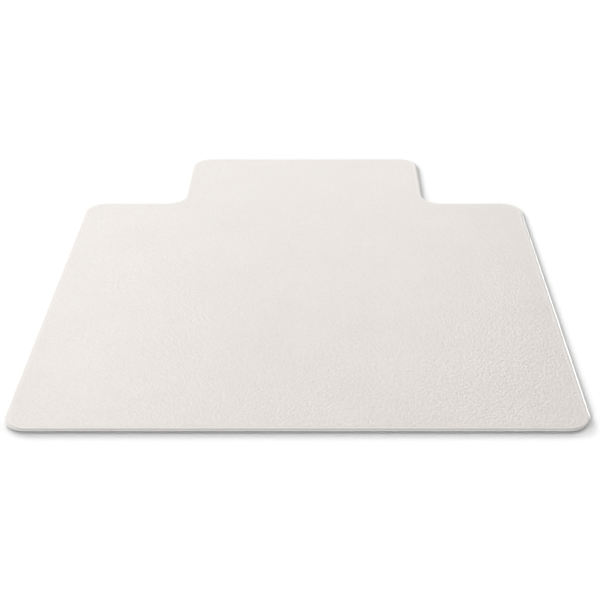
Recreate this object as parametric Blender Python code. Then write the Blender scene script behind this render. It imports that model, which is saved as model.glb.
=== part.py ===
"""Chair mat for carpet: a flexible vinyl sheet with a lip, a bevelled border and gripper studs.

The real mat is one moulding. Its regions are modelled as separate closed solids that meet face to
face with a hair's gap between them: the rolling sheet, the border all round it, and under it three
beds that carry the studs.

Frame: metres, +Z up, +Y towards the lip. The origin is under the middle of the mat's overall
rectangle, on the plane that the studs' tips stand on.
"""

import math

import bmesh
import bpy
from mathutils import Vector

INCH = 0.0254

# The outline, seen from above.
BODY_WIDTH = 45 * INCH
BODY_DEPTH = 41 * INCH
LIP_WIDTH = 25 * INCH
LIP_DEPTH = 12 * INCH
CORNER_RADIUS = 2 * INCH
ARC_STEPS = 8

# Heights above the plane that the studs stand on.
STUD_HEIGHT = 0.0030
SHEET_THICKNESS = 0.0030
BED_THICKNESS = 0.0010
EDGE_THICKNESS = 0.0016
EDGE_ROUNDING = 0.0005
BORDER_WIDTH = 0.0110
BEVEL_WIDTH = 0.0044
GAP = 0.0003

# The grid of studs.
STUD_PITCH = 1 * INCH
STUD_BASE = 0.0060
STUD_TO_BED_EDGE = 0.0060
COLUMNS = round(BODY_WIDTH / STUD_PITCH) - 1
FIRST_COLUMN = -(COLUMNS - 1) / 2

FRONT = -(BODY_DEPTH + LIP_DEPTH) / 2
BODY_BACK = FRONT + BODY_DEPTH
LIP_BACK = BODY_BACK + LIP_DEPTH
UNDERSIDE = STUD_HEIGHT
TOP = UNDERSIDE + SHEET_THICKNESS

VINYL = (0.62, 0.58, 0.55, 1.0)
SMOOTH_VINYL = (0.70, 0.67, 0.65, 1.0)
STUD_VINYL = (0.62, 0.58, 0.55, 1.0)


def rounded(corners):
    """A closed outline through (x, y, radius) corners, each turned by an arc of its radius."""
    points = []
    for i, (x, y, radius) in enumerate(corners):
        corner = Vector((x, y))
        back = (Vector(corners[i - 1][:2]) - corner).normalized()
        ahead = (Vector(corners[(i + 1) % len(corners)][:2]) - corner).normalized()
        if radius == 0:
            points.append(corner)
            continue
        centre = corner + (back + ahead) * radius
        for step in range(ARC_STEPS + 1):
            turn = math.pi / 2 * step / ARC_STEPS
            points.append(centre - (ahead * math.cos(turn) + back * math.sin(turn)) * radius)
    return points


def mat_outline(inset):
    """The mat's outline, moved inwards by inset: outer corners tighten and inner ones widen."""
    side = BODY_WIDTH / 2 - inset
    lip_side = LIP_WIDTH / 2 - inset
    front = FRONT + inset
    body_back = BODY_BACK - inset
    lip_back = LIP_BACK - inset
    outer = CORNER_RADIUS - inset
    inner = CORNER_RADIUS + inset
    return rounded(
        [
            (-side, front, outer),
            (side, front, outer),
            (side, body_back, outer),
            (lip_side, body_back, inner),
            (lip_side, lip_back, outer),
            (-lip_side, lip_back, outer),
            (-lip_side, body_back, inner),
            (-side, body_back, outer),
        ]
    )


def new_material(name, colour, roughness):
    """A plain vinyl finish."""
    material = bpy.data.materials.new(name)
    material.use_nodes = True
    shader = material.node_tree.nodes["Principled BSDF"]
    shader.inputs["Base Color"].default_value = colour
    shader.inputs["Roughness"].default_value = roughness
    shader.inputs["Metallic"].default_value = 0.0
    return material


def new_object(name, bm, material):
    """Turns a bmesh into an object with its faces pointing out."""
    bmesh.ops.recalc_face_normals(bm, faces=bm.faces)
    if bm.calc_volume(signed=True) < 0:
        bmesh.ops.reverse_faces(bm, faces=bm.faces)
    mesh = bpy.data.meshes.new(name)
    bm.to_mesh(mesh)
    bm.free()
    mesh.materials.append(material)
    obj = bpy.data.objects.new(name, mesh)
    bpy.context.scene.collection.objects.link(obj)
    return obj


def add_loop(bm, points, z):
    """Vertices along a closed outline at one height."""
    return [bm.verts.new((p.x, p.y, z)) for p in points]


def bridge(bm, low, high):
    """Quads between two loops of equally many vertices."""
    for i in range(len(low)):
        bm.faces.new((low[i - 1], low[i], high[i], high[i - 1]))


def make_sheet(material):
    """The rolling sheet of body and lip, inside the border and above the studs' beds."""
    bm = bmesh.new()
    outline = mat_outline(BORDER_WIDTH + GAP)
    low = add_loop(bm, outline, UNDERSIDE + BED_THICKNESS + GAP)
    high = add_loop(bm, outline, TOP)
    bridge(bm, low, high)
    bm.faces.new(low)
    bm.faces.new(high)
    return new_object("rolling_sheet", bm, material)


def make_border(material):
    """The ring round the sheet: flat at full thickness, then a bevel down to a thin outer edge."""
    edge_top = UNDERSIDE + EDGE_THICKNESS
    section = [
        (BORDER_WIDTH, UNDERSIDE),
        (EDGE_ROUNDING, UNDERSIDE),
        (0.0, UNDERSIDE + EDGE_ROUNDING),
        (0.0, edge_top - EDGE_ROUNDING),
        (EDGE_ROUNDING, edge_top),
        (BEVEL_WIDTH, TOP),
        (BORDER_WIDTH, TOP),
    ]
    bm = bmesh.new()
    loops = [add_loop(bm, mat_outline(inset), z) for inset, z in section]
    for i, loop in enumerate(loops):
        bridge(bm, loops[i - 1], loop)
    return new_object("bevelled_border", bm, material)


def stud_lines(low, high, first):
    """The studs' places between two limits, one pitch apart from first on, clear of both limits."""
    count = math.ceil((high - first) / STUD_PITCH)
    places = [first + i * STUD_PITCH for i in range(count)]
    return [p for p in places if low + STUD_TO_BED_EDGE < p < high - STUD_TO_BED_EDGE]


def distance_inside(point, outline):
    """How far a point inside an outline is from its nearest side, and negative outside it."""
    nearest = math.inf
    inside = False
    for i, b in enumerate(outline):
        a = outline[i - 1]
        share = (point - a).dot(b - a) / (b - a).length_squared
        nearest = min(nearest, (point - a.lerp(b, min(max(share, 0.0), 1.0))).length)
        if (a.y > point.y) != (b.y > point.y):
            crossing = a.x + (b.x - a.x) * (point.y - a.y) / (b.y - a.y)
            inside = inside != (point.x < crossing)
    return nearest if inside else -nearest


def add_studs(bm, outline, columns, rows):
    """The studs of one bed and the flat strips between them. Returns the grid's rim, anticlockwise.

    Every stud is a square pyramid. The grid's lines run along the sides of their bases, so a cell
    between two even lines is a stud, or stays flat where the bed's corner leaves no room for it.
    """
    reach = STUD_BASE / 2
    xs = [x + side for x in columns for side in (-reach, reach)]
    ys = [y + side for y in rows for side in (-reach, reach)]
    grid = [[bm.verts.new((x, y, UNDERSIDE)) for x in xs] for y in ys]
    for j in range(len(ys) - 1):
        for i in range(len(xs) - 1):
            cell = [grid[j][i], grid[j][i + 1], grid[j + 1][i + 1], grid[j + 1][i]]
            centre = Vector(((xs[i] + xs[i + 1]) / 2, (ys[j] + ys[j + 1]) / 2))
            on_a_stud = i % 2 == 0 and j % 2 == 0
            if on_a_stud and distance_inside(centre, outline) > STUD_TO_BED_EDGE:
                tip = bm.verts.new((centre.x, centre.y, 0.0))
                for k in range(len(cell)):
                    bm.faces.new((cell[k - 1], cell[k], tip))
            else:
                bm.faces.new(cell)
    right = [row[-1] for row in grid[1:-1]]
    left = [row[0] for row in reversed(grid[1:-1])]
    return grid[0] + right + grid[-1][::-1] + left


def fill_margin(bm, rim, outline_verts):
    """Fills the flat margin between the grid's rim and the bed's outline, one face for each side."""
    xs = [v.co.x for v in rim]
    ys = [v.co.y for v in rim]
    corners = [(min(xs), min(ys)), (max(xs), min(ys)), (max(xs), max(ys)), (min(xs), max(ys))]

    def nearest(verts, corner):
        return min(range(len(verts)), key=lambda i: (verts[i].co.xy - Vector(corner)).length)

    def stretch(verts, start, end):
        return verts[start : end + 1] if start <= end else verts[start:] + verts[: end + 1]

    for i, corner in enumerate(corners):
        following = corners[(i + 1) % len(corners)]
        outer = stretch(
            outline_verts, nearest(outline_verts, corner), nearest(outline_verts, following)
        )
        inner = stretch(rim, nearest(rim, corner), nearest(rim, following))
        bm.faces.new(outer + inner[::-1])


def make_stud_bed(name, corners, material):
    """A thin bed with its studs, which taper down from it to the plane that they stand on."""
    bm = bmesh.new()
    outline = rounded(corners)
    low = add_loop(bm, outline, UNDERSIDE)
    high = add_loop(bm, outline, UNDERSIDE + BED_THICKNESS)
    bridge(bm, low, high)
    bm.faces.new(high)
    columns = stud_lines(
        min(p.x for p in outline), max(p.x for p in outline), STUD_PITCH * FIRST_COLUMN
    )
    rows = stud_lines(min(p.y for p in outline), max(p.y for p in outline), FRONT + STUD_PITCH)
    rim = add_studs(bm, outline, columns, rows)
    fill_margin(bm, rim, low)
    bm.normal_update()
    bmesh.ops.triangulate(bm, faces=bm.faces)
    return new_object(name, bm, material)


def make_stud_beds(material):
    """The left and right halves of the body's bed, and the lip's bed."""
    inset = BORDER_WIDTH + GAP
    side = BODY_WIDTH / 2 - inset
    lip_side = LIP_WIDTH / 2 - inset
    front = FRONT + inset
    body_back = BODY_BACK - inset
    lip_back = LIP_BACK - inset
    radius = CORNER_RADIUS - inset
    seam = GAP / 2
    right = [
        (seam, front, 0),
        (side, front, radius),
        (side, body_back, radius),
        (seam, body_back, 0),
    ]
    left = [(-x, y, r) for x, y, r in reversed(right)]
    lip = [
        (-lip_side, body_back + GAP, 0),
        (lip_side, body_back + GAP, 0),
        (lip_side, lip_back, radius),
        (-lip_side, lip_back, radius),
    ]
    make_stud_bed("stud_bed_left", left, material)
    make_stud_bed("stud_bed_right", right, material)
    make_stud_bed("stud_bed_lip", lip, material)


def main():
    for obj in list(bpy.data.objects):
        bpy.data.objects.remove(obj)
    make_sheet(new_material("pebbled_vinyl", VINYL, 0.5))
    make_border(new_material("smooth_vinyl", SMOOTH_VINYL, 0.3))
    make_stud_beds(new_material("stud_vinyl", STUD_VINYL, 0.35))


main()
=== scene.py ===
"""Looks of the chair mat: its pebbled sheet, smooth bevelled border and gripper studs, in soft light.

Everything is in metres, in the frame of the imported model: +Z up, +Y towards the lip.
"""

import math

import bmesh
import bpy
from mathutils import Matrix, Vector


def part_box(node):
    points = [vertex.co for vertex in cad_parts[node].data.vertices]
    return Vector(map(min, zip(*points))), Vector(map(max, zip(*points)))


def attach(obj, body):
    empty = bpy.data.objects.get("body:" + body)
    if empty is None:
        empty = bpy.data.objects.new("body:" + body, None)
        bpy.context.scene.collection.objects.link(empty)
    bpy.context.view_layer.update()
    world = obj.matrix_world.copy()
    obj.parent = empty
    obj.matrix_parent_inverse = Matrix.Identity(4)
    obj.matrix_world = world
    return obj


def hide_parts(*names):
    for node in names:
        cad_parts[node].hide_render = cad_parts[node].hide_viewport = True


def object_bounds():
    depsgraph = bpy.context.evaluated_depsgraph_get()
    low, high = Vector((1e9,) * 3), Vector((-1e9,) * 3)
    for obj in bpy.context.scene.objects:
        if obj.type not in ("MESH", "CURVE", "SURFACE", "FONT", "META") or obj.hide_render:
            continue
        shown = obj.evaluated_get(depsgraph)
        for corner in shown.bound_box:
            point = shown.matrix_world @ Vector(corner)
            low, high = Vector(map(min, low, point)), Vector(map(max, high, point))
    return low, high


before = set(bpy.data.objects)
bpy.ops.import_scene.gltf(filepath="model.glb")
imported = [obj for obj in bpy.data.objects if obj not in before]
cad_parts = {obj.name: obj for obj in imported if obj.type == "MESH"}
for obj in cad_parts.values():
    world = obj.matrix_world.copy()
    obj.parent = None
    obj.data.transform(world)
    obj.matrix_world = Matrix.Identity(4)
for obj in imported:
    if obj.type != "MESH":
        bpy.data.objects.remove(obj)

CAD_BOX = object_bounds()

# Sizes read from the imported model.
BORDER_LOW, BORDER_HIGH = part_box("bevelled_border")
SHEET_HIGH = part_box("rolling_sheet")[1]
BODY_BED_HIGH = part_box("stud_bed_right")[1]
LIP_BED_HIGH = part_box("stud_bed_lip")[1]
SIDE = BORDER_HIGH.x
BORDER_WIDTH = SIDE - SHEET_HIGH.x
FRONT = BORDER_LOW.y
LIP_BACK = BORDER_HIGH.y
BODY_BACK = BODY_BED_HIGH.y + BORDER_WIDTH
LIP_SIDE = LIP_BED_HIGH.x + BORDER_WIDTH
UNDERSIDE = BORDER_LOW.z
TOP = BORDER_HIGH.z
FLOOR = CAD_BOX[0].z

INCH = 0.0254
MM = 0.001

# The outline's corners and the steps along it, and the hair's gap between two pieces.
CORNER_RADIUS = 2 * INCH
ARC_STEPS = 24
STRAIGHT_STEP = 25 * MM
SEAM = 0.02 * MM

# The tiny round of the sheet's upper edge, and how far its middle point lies from the corner.
RIM = 0.12 * MM
RIM_MIDDLE = 0.3 * RIM

# The groove in the border beside the sheet: its floor, and the eased step up to the flat crown.
GROOVE_WIDTH = 1.6 * MM
GROOVE_DEPTH = 0.14 * MM
GROOVE_FLOOR_WIDTH = 0.35 * GROOVE_WIDTH
GROOVE_EASE = 0.25 * GROOVE_WIDTH
CROWN_DROP = 0.04 * MM

# The bevel: it steepens outwards, down to a thin edge with a round above and a chamfer below.
BEVEL_WIDTH = 4.4 * MM
BEVEL_SHARES = (0.0, 0.15, 0.35, 0.55, 0.75, 0.9)
BEVEL_POWER = 1.6
EDGE_THICKNESS = 1.6 * MM
EDGE_ROUNDING = 0.5 * MM
EDGE_STEPS = 4
LOWER_EDGE_BREAK = 0.4 * EDGE_ROUNDING

# The studs: a blunt cone with a flared foot, as (radius, height) from its foot down to its tip.
STUD_PITCH = 1 * INCH
STUD_CLEARANCE = 6 * MM
STUD_SIDES = 10
STUD_PROFILE = (
    (3.3 * MM, UNDERSIDE - SEAM),
    (2.6 * MM, UNDERSIDE - 0.35 * MM),
    (2.2 * MM, UNDERSIDE - 1.1 * MM),
    (1.25 * MM, FLOOR + 0.55 * MM),
    (0.85 * MM, FLOOR + 0.12 * MM),
    (0.45 * MM, FLOOR),
)

# The camera's place, pitch and lens, and how far it sees.
EYE = Vector((0.0471, -2.6132, 1.3690))
PITCH_DOWN = math.radians(29.07)
LENS_MM = 73.89
SENSOR_MM = 36.0
SHIFT_X = -0.0355
SIGHT = 100.0

# The floor's half width, and how far off the lamps stand.
FLOOR_REACH = 15.0
LAMP_DISTANCE = 6.0


# ---------------------------------------------------------------- outlines


def rounded(corners):
    """A closed outline through (x, y, radius) corners: an arc at each, and short steps between."""
    arcs = []
    for i, (x, y, radius) in enumerate(corners):
        corner = Vector((x, y))
        back = (Vector(corners[i - 1][:2]) - corner).normalized()
        ahead = (Vector(corners[(i + 1) % len(corners)][:2]) - corner).normalized()
        centre = corner + (back + ahead) * radius
        turns = [math.pi / 2 * step / ARC_STEPS for step in range(ARC_STEPS + 1)]
        arcs.append([centre - (ahead * math.cos(t) + back * math.sin(t)) * radius for t in turns])
    points = []
    for i, arc in enumerate(arcs):
        start, end = arcs[i - 1][-1], arc[0]
        count = round((end - start).length / STRAIGHT_STEP)
        points += [start.lerp(end, step / count) for step in range(1, count)]
        points += arc
    return points


def mat_outline(inset):
    """The mat's outline moved inwards by inset: outer corners tighten and inner ones widen."""
    side = SIDE - inset
    lip_side = LIP_SIDE - inset
    front = FRONT + inset
    body_back = BODY_BACK - inset
    lip_back = LIP_BACK - inset
    outer = CORNER_RADIUS - inset
    inner = CORNER_RADIUS + inset
    return rounded(
        [
            (-side, front, outer),
            (side, front, outer),
            (side, body_back, outer),
            (lip_side, body_back, inner),
            (lip_side, lip_back, outer),
            (-lip_side, lip_back, outer),
            (-lip_side, body_back, inner),
            (-side, body_back, outer),
        ]
    )


# ---------------------------------------------------------------- meshes


def new_piece(name, bm, material, smooth_angle):
    """An object from a bmesh, its faces pointing out and its edges smooth below an angle."""
    bmesh.ops.recalc_face_normals(bm, faces=bm.faces)
    if bm.calc_volume(signed=True) < 0:
        bmesh.ops.reverse_faces(bm, faces=bm.faces)
    mesh = bpy.data.meshes.new(name)
    bm.to_mesh(mesh)
    bm.free()
    mesh.shade_smooth()
    mesh.set_sharp_from_angle(angle=math.radians(smooth_angle))
    mesh.materials.append(material)
    obj = bpy.data.objects.new(name, mesh)
    bpy.context.scene.collection.objects.link(obj)
    return obj


def add_loop(bm, inset, z):
    """Vertices along the mat's outline, inset and at one height."""
    return [bm.verts.new((p.x, p.y, z)) for p in mat_outline(inset)]


def bridge(bm, low, high):
    """Quads between two loops of equally many vertices."""
    for i in range(len(low)):
        bm.faces.new((low[i - 1], low[i], high[i], high[i - 1]))


def make_sheet(material):
    """The pebbled field of body and lip, at full thickness, with its upper edge slightly rounded."""
    section = [
        (BORDER_WIDTH, UNDERSIDE),
        (BORDER_WIDTH, TOP - RIM),
        (BORDER_WIDTH + RIM_MIDDLE, TOP - RIM_MIDDLE),
        (BORDER_WIDTH + RIM, TOP),
    ]
    bm = bmesh.new()
    loops = [add_loop(bm, inset, z) for inset, z in section]
    for low, high in zip(loops, loops[1:]):
        bridge(bm, low, high)
    bm.faces.new(loops[0])
    bm.faces.new(loops[-1])
    bm.normal_update()
    wide = [f for f in bm.faces if len(f.verts) > 4]
    bmesh.ops.triangulate(bm, faces=wide, ngon_method="EAR_CLIP")
    return new_piece("pebbled_sheet", bm, material, smooth_angle=12)


def border_section():
    """The border's cross-section as (inset, height): groove, crown, bevel and rounded outer edge."""
    inner = BORDER_WIDTH - SEAM
    crown = inner - GROOVE_WIDTH
    crown_top = TOP - CROWN_DROP
    groove_floor = TOP - GROOVE_DEPTH
    edge_top = UNDERSIDE + EDGE_THICKNESS
    section = [
        (inner, UNDERSIDE),
        (inner, groove_floor),
        (inner - GROOVE_FLOOR_WIDTH, groove_floor),
        (crown + GROOVE_EASE, crown_top - CROWN_DROP),
        (crown - GROOVE_EASE, crown_top),
    ]
    for share in BEVEL_SHARES:
        inset = BEVEL_WIDTH + (EDGE_ROUNDING - BEVEL_WIDTH) * share
        section.append((inset, crown_top + (edge_top - crown_top) * share**BEVEL_POWER))
    for step in range(EDGE_STEPS + 1):
        turn = math.pi / 2 * step / EDGE_STEPS
        inset = EDGE_ROUNDING * (1 - math.sin(turn))
        section.append((inset, edge_top - EDGE_ROUNDING * (1 - math.cos(turn))))
    section.append((0.0, UNDERSIDE + LOWER_EDGE_BREAK))
    section.append((LOWER_EDGE_BREAK, UNDERSIDE))
    return section


def make_border(material):
    """The smooth border as one closed ring round the sheet."""
    bm = bmesh.new()
    loops = [add_loop(bm, inset, z) for inset, z in border_section()]
    for i, loop in enumerate(loops):
        bridge(bm, loops[i - 1], loop)
    return new_piece("moulded_border", bm, material, smooth_angle=25)


def stud_lines(low, high, first):
    """The studs' places between two limits, one pitch apart from first on, clear of both limits."""
    count = math.ceil((high - first) / STUD_PITCH)
    places = [first + i * STUD_PITCH for i in range(count)]
    return [p for p in places if low + STUD_CLEARANCE < p < high - STUD_CLEARANCE]


def in_corner(x, y, low, high, rounds_front):
    """True where a stud would reach past one of the bed's rounded corners."""
    radius = CORNER_RADIUS - BORDER_WIDTH
    dx = abs(x) - (max(abs(low.x), abs(high.x)) - radius)
    dy = y - (high.y - radius)
    if rounds_front:
        dy = max(dy, low.y + radius - y)
    return dx > 0 and dy > 0 and math.hypot(dx, dy) > radius - STUD_CLEARANCE


def add_stud(bm, x, y):
    """One blunt cone, closed at both ends."""
    rings = []
    for radius, z in STUD_PROFILE:
        ring = []
        for i in range(STUD_SIDES):
            turn = 2 * math.pi * i / STUD_SIDES
            ring.append(bm.verts.new((x + radius * math.cos(turn), y + radius * math.sin(turn), z)))
        rings.append(ring)
    for low, high in zip(rings, rings[1:]):
        bridge(bm, low, high)
    bm.faces.new(rings[0])
    bm.faces.new(rings[-1])


def make_studs(node, name, rounds_front, material):
    """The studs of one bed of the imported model, on the mat's square grid."""
    low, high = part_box(node)
    columns = round(2 * SIDE / STUD_PITCH) - 1
    xs = stud_lines(low.x, high.x, -(columns - 1) / 2 * STUD_PITCH)
    ys = stud_lines(low.y, high.y, FRONT + STUD_PITCH)
    bm = bmesh.new()
    for y in ys:
        for x in xs:
            if not in_corner(x, y, low, high, rounds_front):
                add_stud(bm, x, y)
    piece = new_piece(name, bm, material, smooth_angle=50)
    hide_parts(node)
    return piece


# ---------------------------------------------------------------- materials


# The vinyl's tones: the field lies between the first two. Towards the thin bevel the border nears the
# third, a painted glow that stands in for light let through the thin vinyl and for a bright rim
# highlight.
DEEP = (0.595, 0.556, 0.525, 1.0)
PALE = (0.685, 0.646, 0.615, 1.0)
PAINTED_GLOW = (0.74, 0.715, 0.695, 1.0)
VINYL_IOR = 1.53

# The sheet's pebbles, and how strong the finer grain on them is.
PEBBLES_PER_METRE = 200.0
PEBBLE_HEIGHT = 0.32 * MM
GRAIN_SHARE = 0.3

# The two heights between which the border's painted glow grows towards its edge.
GLOW_FROM = TOP - 0.05 * MM
GLOW_TO = TOP - 0.30 * MM

# The two whites of the floor.
FLOOR_LOW = (0.985, 0.985, 0.985, 1.0)
FLOOR_HIGH = (0.995, 0.995, 0.995, 1.0)

# The range that most of a noise's values lie in.
NOISE_LOW = 0.3
NOISE_HIGH = 0.7


class Nodes:
    """A new material, with helpers that add and wire its shader nodes."""

    def __init__(self, name):
        self.material = bpy.data.materials.new(name)
        self.material.use_nodes = True
        self.tree = self.material.node_tree
        self.shader = self.tree.nodes["Principled BSDF"]

    def add(self, kind, inputs=None, **settings):
        """A node with its settings, and each input either linked or given a value."""
        node = self.tree.nodes.new(kind)
        for key, value in settings.items():
            setattr(node, key, value)
        for key, value in (inputs or {}).items():
            if isinstance(value, bpy.types.NodeSocket):
                self.tree.links.new(value, node.inputs[key])
            else:
                node.inputs[key].default_value = value
        return node

    def feed(self, socket, source):
        """Links a source to one of the shader's sockets."""
        self.tree.links.new(source, self.shader.inputs[socket])

    def position(self):
        """The place on the object, in metres."""
        return self.add("ShaderNodeTexCoord").outputs["Object"]

    def noise(self, where, scale, detail=2.0):
        """Smooth noise between 0 and 1, with about scale waves to the metre."""
        inputs = {"Vector": where, "Scale": scale, "Detail": detail}
        return self.add("ShaderNodeTexNoise", inputs).outputs["Fac"]

    def remap(self, value, low, high, out_low, out_high):
        """The range from low to high stretched to another one, and held at its ends."""
        inputs = {
            "Value": value,
            "From Min": low,
            "From Max": high,
            "To Min": out_low,
            "To Max": out_high,
        }
        return self.add("ShaderNodeMapRange", inputs).outputs["Result"]

    def vary(self, noise, out_low, out_high):
        """A noise's usual range stretched to another one."""
        return self.remap(noise, NOISE_LOW, NOISE_HIGH, out_low, out_high)

    def maths(self, operation, a, b):
        """The sum, product or another operation of two values."""
        return self.add("ShaderNodeMath", {0: a, 1: b}, operation=operation).outputs[0]

    def mix(self, factor, a, b):
        """A colour between a, where the factor is 0, and b, where it is 1."""
        node = self.add("ShaderNodeMix", data_type="RGBA")
        self.tree.links.new(factor, node.inputs["Factor"])
        node.inputs["A"].default_value = a
        node.inputs["B"].default_value = b
        return node.outputs["Result"]

    def bump(self, height, distance):
        """Normals of a relief whose height, from 0 to 1, spans a distance."""
        inputs = {"Height": height, "Distance": distance}
        return self.add("ShaderNodeBump", inputs).outputs["Normal"]


def new_vinyl(name):
    """A vinyl without its colour and finish, and the place on it."""
    n = Nodes(name)
    n.shader.inputs["IOR"].default_value = VINYL_IOR
    return n, n.position()


def speckle(n, where, strength):
    """Gives vinyl a tone that drifts slightly over a hand's width, and faint specks."""
    drift = n.vary(n.noise(where, 6.0, detail=3.0), 0.40, 0.60)
    specks = n.vary(n.noise(where, 280.0, detail=1.0), -strength, strength)
    n.feed("Base Color", n.mix(n.maths("ADD", drift, specks), DEEP, PALE))


def pebbled_vinyl():
    """The rolling face: round pebbles a few millimetres apart over a fine grain, lightly glossed."""
    n, where = new_vinyl("pebbled_vinyl")
    speckle(n, where, 0.3)
    pebbles = n.add(
        "ShaderNodeTexVoronoi",
        {"Vector": where, "Scale": PEBBLES_PER_METRE, "Smoothness": 0.6, "Randomness": 1.0},
        feature="SMOOTH_F1",
    ).outputs["Distance"]
    domes = n.remap(pebbles, 0.0, 0.9, 1.0, 0.0)
    grain = n.maths("MULTIPLY", n.noise(where, 800.0), GRAIN_SHARE)
    relief = n.bump(n.maths("ADD", domes, grain), PEBBLE_HEIGHT)
    n.feed("Normal", relief)
    n.feed("Coat Normal", relief)
    n.feed("Roughness", n.vary(n.noise(where, 120.0), 0.28, 0.36))
    n.shader.inputs["Coat Weight"].default_value = 0.12
    n.shader.inputs["Coat Roughness"].default_value = 0.06
    return n.material


def smooth_vinyl():
    """The border: smooth, with its colour brightened towards the thinner edge by a painted glow that
    stands in for light let through the vinyl and for a bright rim highlight.
    """
    n, where = new_vinyl("smooth_vinyl")
    height = n.add("ShaderNodeSeparateXYZ", {"Vector": where}).outputs["Z"]
    # Painted light: the base colour brightens towards the thin edge, as a painted glow of light
    # through the vinyl and a painted bright rim.
    glow_share = n.remap(height, GLOW_FROM, GLOW_TO, 0.45, 1.0)
    n.feed("Base Color", n.mix(glow_share, DEEP, PAINTED_GLOW))
    n.feed("Normal", n.bump(n.noise(where, 60.0, detail=1.0), 0.02 * MM))
    n.feed("Roughness", n.remap(n.noise(where, 12.0, detail=1.0), 0.0, 1.0, 0.26, 0.34))
    return n.material


def stud_vinyl():
    """The studs: the same vinyl, with a smoother face than the sheet's."""
    n, where = new_vinyl("stud_vinyl")
    speckle(n, where, 0.1)
    n.feed("Normal", n.bump(n.noise(where, 500.0, detail=1.0), 0.03 * MM))
    n.feed("Roughness", n.vary(n.noise(where, 60.0), 0.25, 0.35))
    return n.material


def floor_paint():
    """A plain white floor with the faintest mottling."""
    n = Nodes("pale_floor")
    n.feed("Base Color", n.mix(n.noise(n.position(), 3.0), FLOOR_LOW, FLOOR_HIGH))
    n.shader.inputs["Roughness"].default_value = 1.0
    n.shader.inputs["Specular IOR Level"].default_value = 0.0
    return n.material


# ---------------------------------------------------------------- studio


def make_camera():
    """The camera: no depth of field, and a small sideways shift."""
    data = bpy.data.cameras.new("camera")
    data.lens = LENS_MM
    data.sensor_width = SENSOR_MM
    data.shift_x = SHIFT_X
    data.clip_end = SIGHT
    camera = bpy.data.objects.new("camera", data)
    camera.location = EYE
    camera.rotation_euler = (math.pi / 2 - PITCH_DOWN, 0.0, 0.0)
    bpy.context.scene.collection.objects.link(camera)
    bpy.context.scene.camera = camera


def make_floor():
    """The flat floor under the mat."""
    bm = bmesh.new()
    bmesh.ops.create_grid(bm, x_segments=2, y_segments=2, size=FLOOR_REACH)
    for v in bm.verts:
        v.co.z = FLOOR
    mesh = bpy.data.meshes.new("floor")
    bm.to_mesh(mesh)
    bm.free()
    mesh.materials.append(floor_paint())
    floor = bpy.data.objects.new("floor", mesh)
    bpy.context.scene.collection.objects.link(floor)


def add_sun(name, place, width, energy, glossy):
    """A lamp of parallel light that faces the mat's middle."""
    data = bpy.data.lights.new(name, "SUN")
    data.energy = energy
    data.angle = width
    lamp = bpy.data.objects.new(name, data)
    lamp.location = place
    lamp.rotation_mode = "QUATERNION"
    lamp.rotation_quaternion = (-place).to_track_quat("-Z", "Y")
    lamp.visible_glossy = glossy
    bpy.context.scene.collection.objects.link(lamp)


def direction(azimuth, elevation):
    """A unit vector towards the sky. Azimuth 0 is +Y, behind the lip, and 90 is +X."""
    a = math.radians(azimuth)
    e = math.radians(elevation)
    return Vector((math.sin(a) * math.cos(e), math.cos(a) * math.cos(e), math.sin(e)))


# The lamps, as (name, azimuth, elevation, width, share, glossy), with the first three numbers in
# degrees. A share of 1 lights the floor white by itself. The strong low lamps give light and shadow
# but no gloss, because in a view that faces one its gloss would burn out the whole mat.
LAMPS = (
    ("key_low", -45, 10, 12, 0.083, False),
    ("key_high", -45, 26, 18, 0.148, False),
    ("key_back", -25, 10, 12, 0.214, False),
    ("back_right", 40, 12, 20, 0.095, False),
    ("front_fill", -150, 8, 12, 0.114, False),
    ("overhead", -90, 60, 50, 0.105, True),
    ("sheen_wide", -8, 26, 40, 0.060, True),
    ("sheen_left", -22, 34, 24, 0.044, True),
    ("sheen_back", -2, 21, 30, 0.018, True),
    ("sparkle", 30, 44, 2, 0.065, True),
    ("border_right", 32, 12, 14, 0.038, True),
)
AMBIENT = 0.10  # the share of the light that comes from all round


def make_world():
    """White to the camera, and a weak white light to everything else."""
    world = bpy.data.worlds.new("studio")
    world.use_nodes = True
    tree = world.node_tree
    background = tree.nodes["Background"]
    seen = tree.nodes.new("ShaderNodeLightPath").outputs["Is Camera Ray"]
    strength = tree.nodes.new("ShaderNodeMapRange")
    strength.inputs["To Min"].default_value = AMBIENT
    strength.inputs["To Max"].default_value = 1.0
    tree.links.new(seen, strength.inputs["Value"])
    tree.links.new(strength.outputs["Result"], background.inputs["Strength"])
    background.inputs["Color"].default_value = (1.0, 1.0, 1.0, 1.0)
    bpy.context.scene.world = world


def make_lights():
    """The world and the lamps, shown without any grading of colour."""
    make_world()
    for name, azimuth, elevation, width, share, glossy in LAMPS:
        place = direction(azimuth, elevation) * LAMP_DISTANCE
        energy = math.pi * share / math.sin(math.radians(elevation))
        add_sun(name, place, math.radians(width), energy, glossy)
    bpy.context.scene.view_settings.view_transform = "Standard"
    bpy.context.scene.view_settings.look = "None"


# ---------------------------------------------------------------- the mat


def main():
    """The studio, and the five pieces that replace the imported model's nodes."""
    make_camera()
    make_floor()
    make_lights()
    sheet = make_sheet(pebbled_vinyl())
    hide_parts("rolling_sheet")
    border = make_border(smooth_vinyl())
    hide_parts("bevelled_border")
    studs_finish = stud_vinyl()
    pieces = [
        sheet,
        border,
        make_studs("stud_bed_left", "gripper_studs_left", True, studs_finish),
        make_studs("stud_bed_right", "gripper_studs_right", True, studs_finish),
        make_studs("stud_bed_lip", "gripper_studs_lip", False, studs_finish),
    ]
    for piece in pieces:
        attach(piece, "root")


main()
